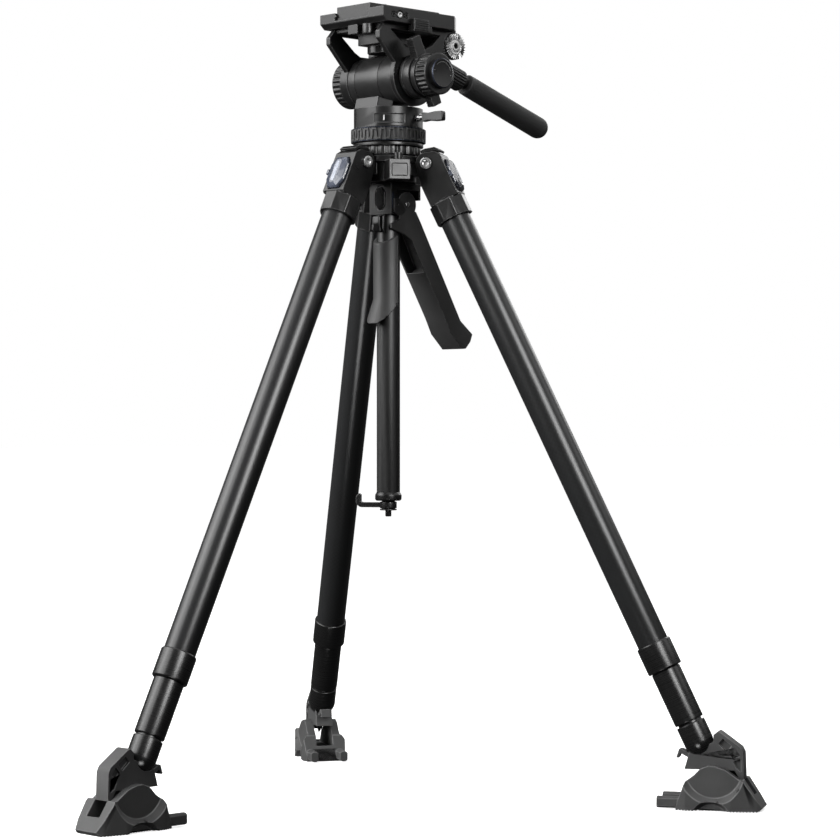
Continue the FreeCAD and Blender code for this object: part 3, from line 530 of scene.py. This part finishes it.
def arc_points(radius, start, end, steps, centre=(0, 0)):
    """Points on an arc, by angles in degrees."""
    angles = [math.radians(start + (end - start) * step / steps) for step in range(steps + 1)]
    return [(centre[0] + radius * math.cos(a), centre[1] + radius * math.sin(a)) for a in angles]


def arc_band(name, inner, outer, start, end, low, high, matrix, look, body):
    """A flat curved strip."""
    outline = arc_points(outer, start, end, 24) + arc_points(inner, end, start, 24)
    return extruded(name, outline, low, high, matrix, look, body, 0.02)


def socket_screw(name, radius, height, matrix, look, body, socket=0.5, replaces=()):
    """A round screw head with a hexagonal recess, its top at the frame's +Z side."""
    bottom, recess = height * 0.35, radius * socket
    outline = [(0, 0), (radius, 0), (radius, height), (recess, height), (recess, bottom), (0, bottom)]

    def hexagon(angle, r, z):
        if r > recess + 0.02:
            return r, z
        return r * math.cos(math.pi / 6) / math.cos((angle % (TAU / 6)) - math.pi / 6), z

    return lathe(name, outline, matrix, look, body, False, 48, hexagon, replaces, 0.25)


# ---- legs ----

def sole_comb(leg):
    """The V grooves across a sole."""
    low, high = span(f"{leg}_foot_shoe", foot_frame(leg))
    pitch, depth, gap, start, end = 3.2, 1.5, -0.6, low.x + 21, high.x - 2
    count = int((end - start) / pitch)
    teeth = [(start + pitch * (step / 2), depth if step % 2 else gap) for step in range(2 * count + 1)]
    outline = [(start, -3), (start + pitch * count, -3)] + teeth[::-1]
    upright = foot_frame(leg) @ Matrix.Rotation(math.pi / 2, 4, "X")
    return prism_mesh("comb", outline, -40, 40, upright)


def octagon(half_wide, top, bottom, cut_wide=5.4, cut_tall=8.5):
    """An upright outline with cut corners."""
    return [(-half_wide, top - cut_tall), (-half_wide, bottom + cut_tall), (cut_wide - half_wide, bottom),
            (half_wide - cut_wide, bottom), (half_wide, bottom + cut_tall), (half_wide, top - cut_tall),
            (half_wide - cut_wide, top), (cut_wide - half_wide, top)]


def build_key(leg):
    """A smoky cap with a flat strip along its middle and a nub on one side."""
    place, body, node = leg_frame(leg) @ FACE, f"{leg}_key", f"{leg}_release_key"
    rings = [(octagon(13, -4.1, -39.4), 16.4), (octagon(13, -4.1, -39.4), 19.2),
             (octagon(11.8, -5, -38.4, 5, 8), 20.8), (octagon(4.4, -8.5, -35, 1.5, 3), 23)]
    loft(node + "_cap", rings, place, KEY, body, 0.5, [node])
    extruded(node + "_strip", octagon(2.6, -10.5, -33, 1, 2), 22.7, 23.25, place, KEY_STRIP, body, 0.2)
    side = leg_frame(leg) @ shifted(0, 0, -21) @ Matrix.Rotation(-math.pi / 2, 4, "X")
    nub = softened([(17, -3), (21, -3), (21, 3), (17, 3)], 1.2)
    extruded(node + "_nub", nub, -15.6, -12.4, side, KEY, body, 0.5)


def build_casting(leg):
    """The casting, whose low rim stands out too little for its upper edge to be broken."""
    inverse, rim_height, near = leg_frame(leg).inverted(), 1.2, 0.1
    rim = span(f"{leg}_casting", leg_frame(leg))[0].z + rim_height
    casting = machined(f"{leg}_casting", METAL, 0.8, edge=METAL_EDGE_HIGHLIGHT)

    def on_rim(edge):
        return all(abs((inverse @ end.co).z / MM - rim) < near for end in edge.verts)

    keep_sharp(casting, 32, on_rim)


def build_lower_tube(leg):
    """The lower tube with its ferrule, which ends in a ball, and the spike under it."""
    place = leg_frame(leg)
    ankle = (place.inverted() @ Vector(JOINTS[f"{leg}_ankle"]["pos_m"])).z / MM
    ball = arc_points(15, 0, -88, 12, (0, ankle))
    tube = [(0, ankle + 13.6), (10.8, ankle + 13.6), (10.8, -130), (12.5, -130), (12.5, ankle + 19.6),
            (14.4, ankle + 19.6), (15, ankle + 19)] + ball + [(0, ankle - 15)]
    lathe(f"{leg}_lower_tube", tube, place, SMOOTH, f"{leg}_lower", False, replaces=[f"{leg}_lower_section"])
    spike = [(0, ankle - 12), (5, ankle - 12), (5, ankle - 30), (0.4, ankle - 42), (0, ankle - 42)]
    lathe(f"{leg}_spike", spike, place, STEEL, f"{leg}_lower", False, 48)


def build_leg(leg):
    """Every piece of a leg, from its pivot bolts down to its foot."""
    place = leg_frame(leg)
    build_casting(leg)
    build_key(leg)
    machined(f"{leg}_angle_tab", METAL, 0.5, edge=METAL_EDGE_HIGHLIGHT)
    turned_piece(f"{leg}_upper_tube", place, CARBON, f"{leg}_carbon_tube")
    turned_piece(f"{leg}_upper_collar", place, SMOOTH, f"{leg}_tube_collar", soft=0.5)
    turned_piece(f"{leg}_middle_section", place, SMOOTH, f"{leg}_middle_tube", soft=0.5)
    build_lower_tube(leg)
    machined(f"{leg}_foot_shoe", RUBBER, 0.8, edge=RUBBER_EDGE_HIGHLIGHT, carve=sole_comb(leg))
    machined(f"{leg}_foot_strap", RUBBER, 0.6, edge=RUBBER_EDGE_HIGHLIGHT)
    hinge = place @ Matrix.Rotation(math.pi / 2, 4, "X")
    for side, turn in (("near", 0), ("far", math.pi)):
        bolt = hinge @ Matrix.Rotation(turn, 4, "X") @ shifted(0, 0, 15.6)
        socket_screw(f"{leg}_bolt_{side}", 6, 2.1, bolt, STEEL, "stand", replaces=["pivot_bolts"])


for leg in LEGS:
    build_leg(leg)


# ---- hub and head seat ----

machined("hub", METAL, 0.8, edge=METAL_EDGE_HIGHLIGHT)
machined("lobe_fittings", METAL, 0.4, edge=METAL_EDGE_HIGHLIGHT)
CLUTCH_PIVOT = axes(JOINTS["clutch_squeeze"]["pos_m"], (0, 0, 1), (1, 0, 0))
lathe("clutch_pin", [(0, -15.8), (2.5, -15.8), (2.5, 15.8), (0, 15.8)], CLUTCH_PIVOT, STEEL, "stand", False,
      48, replaces=["pivot_bolts"])


def build_fluted_ring():
    """A ring with grooves along its whole height."""
    low, high = span("fluted_ring")
    bore = 30.05
    outline = [(bore, low.z), (high.x, low.z), (high.x, high.z), (bore, high.z)]
    shape = fluting(20, 1.6, low.z - 5, high.z + 5, high.x - 1.5, 2.2)
    lathe("fluted_ring_finished", outline, STAND, SATIN, BODY_OF["fluted_ring"], True, 320, shape,
          ["fluted_ring"], 0.7)


def build_lock_ring():
    """A rubber ring with a raised line that winds up and down round it."""
    outline, closed = turned_outline("head_lock_ring", STAND)
    outer = max(radius for radius, _ in outline)
    low, high = (pick(height for _, height in outline) for pick in (min, max))
    middle, swing, waves, steepness = (low + high) / 2, (high - low) / 2 - 2.6, 26, 1.9
    half_width, flank, relief = 0.8, 0.5, 1.4

    def shape(angle, radius, height):
        if radius < outer - 1.1:
            return radius, height
        wave = math.sin(waves * angle)
        path = middle + swing * max(-1, min(1, steepness * wave))
        slope = 0.0 if abs(wave) > 0.53 else steepness * swing * waves / outer
        away = abs(height - path) / math.hypot(1, slope)
        return radius - relief * ease((away - half_width) / flank), height

    lathe("head_lock_ring_finished", outline, STAND, RUBBER, BODY_OF["head_lock_ring"], closed, 1040, shape,
          ["head_lock_ring"], 0.6, 0.5)


build_fluted_ring()
build_lock_ring()
turned_piece("head_seat", STAND, SMOOTH)
turned_piece("head_base", STAND, METAL)

# ---- clutch, palm grip and column ----

machined("clutch_housing", METAL, 0.6, edge=METAL_EDGE_HIGHLIGHT)
machined("clutch_lever", MATT, 0.6, edge=MATT_EDGE_HIGHLIGHT)
machined("lever_latch", SATIN, 0.3)
machined("palm_grip", MATT, 1.0)
turned_piece("column_tube", STAND, WOUND)
turned_piece("column_end", STAND, METAL, soft=0.6)


def build_clutch_details():
    """The plain badge of the clutch, the link and prongs above the palm grip, and the trims on its sides."""
    badge = softened(octagon(6.4, 633.7, 611.3, 3.4, 5), 1.2)
    extruded("clutch_badge", badge, 11.2, 12.4, FRONT, GLOSS, "stand", 0.6)
    link = softened([(-11.5, 605.5), (-17.5, 604), (-18.6, 596), (-15.5, 588), (-12.4, 588)], 1.5)
    extruded("clutch_link", link, -4.6, 4.6, FACE, METAL, "stand", 1.6)
    prong = softened([(-10.5, 605.5), (-14.5, 604), (-15.4, 590), (-12.6, 586), (-11, 586)], 1.0)
    for side, x in (("left", -7.4), ("right", 7.4)):
        extruded(f"clutch_prong_{side}", prong, x - 1.2, x + 1.2, FACE, METAL, "stand", 0.4)
    trim = softened([(-10.5, 612), (-7.5, 612), (-7.5, 629), (-10.5, 629)], 1)
    for side, low in (("left", -16.8), ("right", 16.3)):
        extruded(f"clutch_trim_{side}", trim, low, low + 0.5, FACE, BLUE, "stand", 0.1)


def build_hook():
    """The arm of the weight hook, drawn from its low side, and the collar that it swivels on."""
    angle = math.radians(210)
    out = Vector((math.cos(angle), math.sin(angle), 0))
    place = axes((0, 0, 0), out, out.cross(Vector((0, 0, 1))))
    arm = [(7.2, 301)] + arc_points(6.5, -90, 0, 6, (28.3, 307.5)) + [(34.8, 312.5), (31.5, 315.8)]
    arm += [(29.6, 314.5)] + arc_points(2, 0, -90, 4, (27.6, 308.3)) + [(7.2, 306.3)]
    extruded("weight_hook_arm", arm, -2.7, 2.7, place, METAL, "weight_hook", 0.7, ["weight_hook"], METAL_EDGE_HIGHLIGHT)
    collar = [(7.05, 300.05), (8.8, 300.05), (8.8, 306.95), (7.05, 306.95)]
    lathe("weight_hook_collar", collar, STAND, METAL, "weight_hook", soft=0.6)


build_clutch_details()
build_hook()

# ---- pan ----

machined("pan_base", METAL, 0.7, edge=METAL_EDGE_HIGHLIGHT)


def build_pan_details():
    """The index mark of the pan base, its lock's link and its paddle."""
    angle = math.radians(-51)
    out = Vector((math.cos(angle), math.sin(angle), 0))
    mark = [(701, -0.8), (706.5, -0.8), (706.5, 0.8), (701, 0.8)]
    extruded("pan_index", mark, 1.2, 1.62, axes(out * 34.5 * MM, (0, 0, 1), out), PRINT, "pan", 0.1)
    link = [(0, -20), (2.5, -20), (2.5, -7), (4, -7), (4, -4), (2.5, -4), (2.5, 0.5), (0, 0.5)]
    lathe("pan_lock_link", link, PAN_LOCK, STEEL, "pan_lock", False, 48, replaces=["pan_lock_lever"])
    flat = axes(PAN_LOCK.translation, (0, 0, 1), PAN_LOCK.to_3x3().col[1])
    paddle = softened([(-5, 0), (-4, -8), (-5, -16), (-5, -26), (5, -26), (5, -16), (4, -8), (5, 0)], 2)
    extruded("pan_lock_paddle", paddle, -3.5, 3.5, flat, PLASTIC, "pan_lock", 1.1, edge=PLASTIC_EDGE_HIGHLIGHT)


def build_ring_lines():
    """Thin blue lines along both rims of the head's lock ring."""
    (_, _, low), (_, _, high) = span("head_lock_ring")
    for name, level in (("low", low + 0.9), ("high", high - 0.9)):
        line = [(37.6, level - 0.2), (38.95, level - 0.2), (38.95, level + 0.2), (37.6, level + 0.2)]
        lathe(f"lock_ring_line_{name}", line, STAND, BLUE, "head_lock_ring", soft=0.05)


SPINDLE = 12.0              # radius of the tilt spindle
HOLLOW = SPINDLE + 0.1      # inner radius of what sits round it


def build_tilt_housing():
    """The drum, with seams between its turned rings, on its pedestal."""
    wide = 25.5
    drum = [(0, -58), (SPINDLE, -58), (SPINDLE, -35.5), (wide - 0.6, -35.5), (wide, -34.9)]
    for seam in (-25, 10):
        drum += [(wide, seam - 0.4), (wide - 0.5, seam - 0.4), (wide - 0.5, seam + 0.4), (wide, seam + 0.4)]
    drum += [(wide, 32), (wide - 0.6, 32.5), (SPINDLE, 32.5), (SPINDLE, 74), (0, 74)]
    lathe("tilt_drum", drum, TILT, TURNED, "pan", False, 160, replaces=["tilt_housing"], soft=0.15)
    block = [(-30.2, -21), (-30.2, 21), (-10.5, 16), (-10.5, -16)]
    extruded("tilt_pedestal", block, -30, 4, TILT, METAL, "pan", 0.8, edge=METAL_EDGE_HIGHLIGHT)
    flank = [([(-30.2, -20.5), (-30.2, 20.5), (-10.5, 15.6), (-10.5, -15.6)], 3),
             ([(-30.2, -12), (-30.2, 12), (-20, 9), (-20, -9)], 18)]
    loft("tilt_pedestal_side", flank, TILT, METAL, "pan", 0.6)


def wave_grip(node, matrix, count, depth, least, power=1.0):
    """A round CAD knob with grooves along its rim."""
    low, high = (corner.z for corner in span(node, matrix))
    shape = fluting(count, depth, low + 0.6, high - 0.6, least, power)
    turned_piece(node, matrix, PLASTIC, segments=count * 12, shape=shape, step=1.6, soft=0.8)


def build_damping():
    """The neck between the drum and the drag dial, with a seam round it, and the index ring on it."""
    neck = [(HOLLOW, 39.25), (21.6, 39.25), (23, 40.4), (23, 43.4), (22.3, 43.7), (22.3, 44.3), (23, 44.6),
            (23, 53.6), (HOLLOW, 53.6)]
    lathe("damping_neck", neck, TILT, TURNED, "pan", segments=160, replaces=["damping_housing"], soft=0.2)
    index = [(HOLLOW, 60.35), (22.5, 60.35), (22.5, 61.25), (HOLLOW, 61.25)]
    lathe("damping_index", index, TILT, SATIN, "pan", segments=120, soft=0.15)


def build_drag_dial():
    """A grooved dial with a plain cap, a blue line round it and a printed scale."""
    dial = [(HOLLOW, 61.6), (21.5, 61.6), (21.5, 76), (HOLLOW, 76)]
    shape = fluting(26, 1.7, 62.4, 75.4, 21, 1.3, 1.4)
    lathe("drag_dial_rim", dial, TILT, PLASTIC, "drag_dial", True, 312, shape, ["drag_dial"], 0.9, 1.2)
    cap = [(0, 75.6), (15.2, 75.6), (15.2, 80.2), (14.4, 81), (13.9, 81), (13.7, 80.7), (0, 80.7)]
    lathe("drag_dial_cap", cap, TILT, METAL, "drag_dial", False, 120, soft=0.3)
    line = [(14.3, 80.4), (15.3, 80.1), (15.3, 80.5), (14.4, 81.1)]
    lathe("drag_dial_line", line, TILT, BLUE, "drag_dial", segments=120, soft=0.05)
    printed = (80.6, 80.85)
    arc_band("drag_scale", 11.3, 11.8, -75, 45, *printed, TILT, PRINT, "drag_dial")
    for side, angle in (("left", math.radians(78)), ("right", math.radians(-98))):
        dot = arc_points(0.55, 0, 330, 11, (11.6 * math.cos(angle), 11.6 * math.sin(angle)))
        extruded(f"drag_dot_{side}", dot, *printed, TILT, PRINT, "drag_dial", 0.02)


def build_tilt_lock():
    """The lever, with ribs along both sides of its tapering wings."""
    machined("tilt_lock_lever", PLASTIC, 0.8, edge=PLASTIC_EDGE_HIGHLIGHT)
    wing = TILT @ Matrix.Rotation(math.radians(25), 4, "Z")
    pitch, root, rib = 2.8, 5.4, ((0, -0.3), (0.4, 0.5), (1.4, 0.5), (1.8, -0.3))
    for name, start, count, tip, taper in (("upper", 24, 6, 42, 27), ("lower", -31.5, 4, 32.5, 17.5)):
        for side, sign in (("right", -1), ("left", 1)):
            comb = [(start, sign * root)]
            for step in range(count):
                x = start + pitch * step
                y = 6 + (tip - abs(x)) / taper
                comb += [(x + ahead, sign * (y + out)) for ahead, out in rib]
            comb += [(start + pitch * count - 0.5, sign * root)]
            extruded(f"tilt_lock_ribs_{name}_{side}", comb, 51, 58.6, wing, PLASTIC, "tilt_lock", 0.1)


build_pan_details()
build_ring_lines()
build_tilt_housing()
build_damping()
build_tilt_lock()
build_drag_dial()
wave_grip("counterbalance_dial", TILT, 30, 1.3, 24.5, power=1.4)

# ---- tilt ----

machined("tilt_cage", METAL, 0.8, edge=METAL_EDGE_HIGHLIGHT)
machined("platform", METAL, 0.7, edge=METAL_EDGE_HIGHLIGHT)
machined("camera_plate", METAL, 0.5, edge=METAL_EDGE_HIGHLIGHT)
machined("camera_screw", STEEL, 0.3)
machined("plate_lock_lever", PLASTIC, 0.5, edge=PLASTIC_EDGE_HIGHLIGHT)
machined("plate_release_button", PLASTIC, 0.4)


def build_rosettes():
    """Toothed discs: radial teeth round a dished middle."""
    for name, inner, face, out in (("right", 38.9, 42.2, 1), ("left", -41.9, -45.2, -1)):
        dish, boss = face - 1.2 * out, face - 0.2 * out
        disc = [(3.05, inner), (13.6, inner), (14, inner + 0.6 * out), (14, face), (8.6, face), (8, dish),
                (5.4, dish), (5, boss), (3.05, boss)]

        def teeth(angle, radius, height, face=face, out=out):
            if abs(height) < abs(face) - 0.5 or radius < 8.4:
                return radius, height
            depth = 1.5 * abs(((30 * angle / TAU) % 1) * 2 - 1)
            return radius - (0.5 * depth if radius > 13 else 0), height - out * depth

        lathe(f"rosette_{name}", disc, ROSETTES, STEEL, "tilt", True, 360, teeth, ["rosettes"], 0.2, sharp=25)
    sleeve = [(1.9, 0), (3, 0), (3, 1.6), (1.9, 1.6)]
    lathe("rosette_sleeve", sleeve, ROSETTES @ shifted(0, 0, 39.6), METAL, "tilt", segments=48, soft=0.1)


def build_platform_details():
    """Side ornaments, the front stop and level, and the knurled face of the plate lock."""
    ring = [(1.5, 0), (2.5, 0), (2.5, 0.9), (1.5, 0.9)]
    for side, sign in (("right", 1), ("left", -1)):
        seat = axes(Vector((sign * 46.9, -29, 806.5)) * MM, (0, 0, 1), (sign, 0, 0))
        socket_screw(f"ornament_{side}", 3.1, 1.3, seat, STEEL, "tilt", 0.45)
        for letter, along in (("a", -9), ("b", 9)):
            lathe(f"ornament_ring_{side}_{letter}", ring, seat @ shifted(0, along, 0), METAL_EDGE_HIGHLIGHT, "tilt",
                  segments=48, soft=0.2)
    under = 799.2           # the underside of the platform
    stop = softened([(-6, 789.5), (8, 789.5), (8, under), (-6, under)], 1)
    extruded("platform_stop", stop, 0, 8, shifted(0, -44, 0) @ FRONT, METAL, "tilt", 0.6, edge=METAL_EDGE_HIGHLIGHT)
    level = [(0, 788.5), (5.2, 788.5), (6, 789.3), (6, under), (0, under)]
    lathe("platform_level", level, shifted(17, -45, 0), SATIN, "tilt", False, 48, soft=0.5)
    lock = shifted(52.9, 0, 0) @ FACE
    studs("plate_lock_knurl", (-13, 792.4), (7, 803.6), 9, 5, 0.8, lock, PLASTIC, "plate_lock")


build_rosettes()
build_platform_details()

# ---- pan bar ----

machined("bar_clamp", METAL, 0.6, edge=METAL_EDGE_HIGHLIGHT)
machined("bar_tube", SMOOTH, 0.4)
machined("bar_clamp_knob", PLASTIC, 0.6, edge=PLASTIC_EDGE_HIGHLIGHT)
wave_grip("bar_twist_collar", BAR, 22, 0.9, 11.5)


def build_grip():
    """The soft grip, with fine ridges that wind round it, and the rod inside it."""
    end = span("bar_grip", BAR)[1].z
    sleeve = [(0, end - 8), (5.5, end - 8), (5.5, 26), (10.6, 26), (11.6, 27.4), (11.6, 31), (11.9, 34)]
    sleeve += arc_points(12.3, 0, 90, 12, (0, end - 12.3))
    shape = fluting(26, 0.5, 32, end - 8, 11.3, 0.8, 3, 0.09)
    lathe("bar_grip_sleeve", sleeve, BAR, FOAM, "bar_grip", False, 240, shape, ["bar_grip"], 0.4, 0.8, 60)
    rod = [(0, -69), (5.45, -69), (5.45, end - 8.5), (0, end - 8.5)]
    lathe("bar_grip_rod", rod, BAR, SMOOTH, "bar_grip", False, 64)


build_grip()


# ---- studio ----

def floor():
    """A wide sheet of pale paper."""
    half, parts = 60.0, 40
    sheet = bmesh.new()
    bmesh.ops.create_grid(sheet, x_segments=parts, y_segments=parts, size=half)
    mesh = bpy.data.meshes.new("floor")
    sheet.to_mesh(mesh)
    sheet.free()
    paper = Look("pale_paper", None, grey(0.80), grey(0.83), 0.9, patch=3, grain=400, relief=0.02)
    paper.surface.inputs["Emission Color"].default_value = (1, 1, 1, 1)
    paper.surface.inputs["Emission Strength"].default_value = 0.7
    mesh.materials.append(paper.material)
    ground = bpy.data.objects.new("floor", mesh)
    bpy.context.scene.collection.objects.link(ground)
    ground.visible_glossy = ground.visible_diffuse = False


def put(name, data):
    """An object for a light or a lens."""
    thing = bpy.data.objects.new(name, data)
    bpy.context.scene.collection.objects.link(thing)
    return thing


def softbox(name, azimuth, elevation, distance, wide, tall, power, diffuse=True, glossy=True):
    """An area light that looks at the middle of the stand. Azimuth is counted from +X towards +Y.
    Without diffuse it is only seen mirrored, and without glossy never."""
    a, e = math.radians(azimuth), math.radians(elevation)
    middle = Vector((0, 0, 0.45))
    towards = Vector((math.cos(a) * math.cos(e), math.sin(a) * math.cos(e), math.sin(e)))
    lamp = bpy.data.lights.new(name, "AREA")
    lamp.shape, lamp.size, lamp.size_y, lamp.energy = "RECTANGLE", wide, tall, power
    light = put(name, lamp)
    light.matrix_world = axes(middle + towards * distance, Vector((0, 0, 1)).cross(towards), towards)
    light.visible_camera, light.visible_diffuse, light.visible_glossy = False, diffuse, glossy


def sun(name, strength, width):
    """Light from straight above, as wide as the angle."""
    lamp = bpy.data.lights.new(name, "SUN")
    lamp.energy, lamp.angle = strength, math.radians(width)
    put(name, lamp)


def world():
    """White behind the stand, and a dimmer room in what it lights and mirrors."""
    room = bpy.data.worlds.new("room")
    room.use_nodes = True
    nodes, links = room.node_tree.nodes, room.node_tree.links
    path = nodes.new("ShaderNodeLightPath")
    level = nodes.new("ShaderNodeMapRange")
    level.inputs["To Min"].default_value, level.inputs["To Max"].default_value = 0.05, 1.0
    links.new(path.outputs["Is Camera Ray"], level.inputs["Value"])
    background = nodes["Background"]
    background.inputs["Color"].default_value = (1, 1, 1, 1)
    links.new(level.outputs["Result"], background.inputs["Strength"])
    bpy.context.scene.world = room


def camera():
    """A long lens just under half the stand's height, in front of it and on its +X side."""
    eye, forward = Vector((2.018, -1.922, 0.3768)), Vector((-0.7159, 0.6982, 0.0055))
    lens = bpy.data.cameras.new("camera")
    lens.lens, lens.sensor_width, lens.clip_start = 114.47, 36, 0.05
    view = put("camera", lens)
    view.matrix_world = axes(eye, forward.cross(Vector((0, 0, 1))), -forward)
    bpy.context.scene.camera = view


floor()
softbox("key", 222, 33, 2.8, 2.2, 2.0, 44)
softbox("left", -108, 24, 2.8, 2.2, 1.8, 60)
softbox("fill", -104, 12, 2.8, 2.4, 2.0, 75, True, False)
softbox("right", 42, 30, 2.8, 1.6, 1.4, 11, False)
softbox("front", -14, 22, 2.6, 1.0, 1.6, 66, False)
softbox("low", -48, -38, 2.4, 0.9, 0.7, 22, False)
softbox("back", 100, 28, 2.8, 2.2, 1.6, 30)
sun("overhead", 1.2, 60)
world()
camera()
bpy.context.scene.view_settings.view_transform = "Standard"
